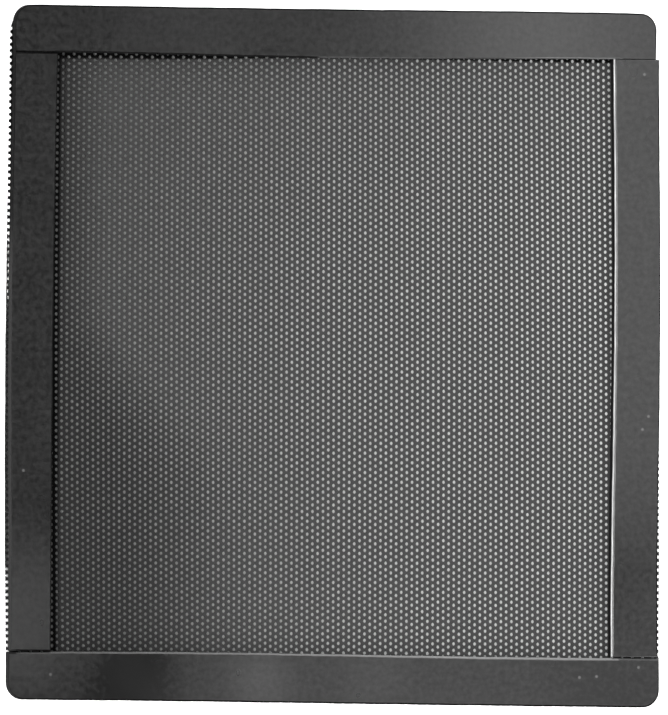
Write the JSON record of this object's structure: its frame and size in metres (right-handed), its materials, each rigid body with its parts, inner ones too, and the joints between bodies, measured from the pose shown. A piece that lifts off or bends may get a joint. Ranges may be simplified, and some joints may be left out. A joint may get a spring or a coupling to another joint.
{
  "type": "fan dust filter",
  "caption": "Flat square dust filter: a black perforated PVC sheet framed by flexible magnet strips, for sticking over a 120 mm fan opening in a steel case.",
  "frame": {"origin": "on the surface the filter lies on, under the middle of the sheet", "axes": "+X to the right and +Y towards the top strip as the filter is seen from its strips' side, +Z out of the strips' bare faces"},
  "size_m": [0.1216, 0.1204, 0.0019],
  "materials": {
    "punched_pvc": "semi-matt black, punched with fine round holes",
    "magnet_strip": "satin black, smooth rolled face"
  },
  "bodies": {
    "root": {"mesh_sheet": "punched_pvc", "top_strip": "magnet_strip", "bottom_strip": "magnet_strip", "left_strip": "magnet_strip", "right_strip": "magnet_strip"}
  },
  "joints": []
}
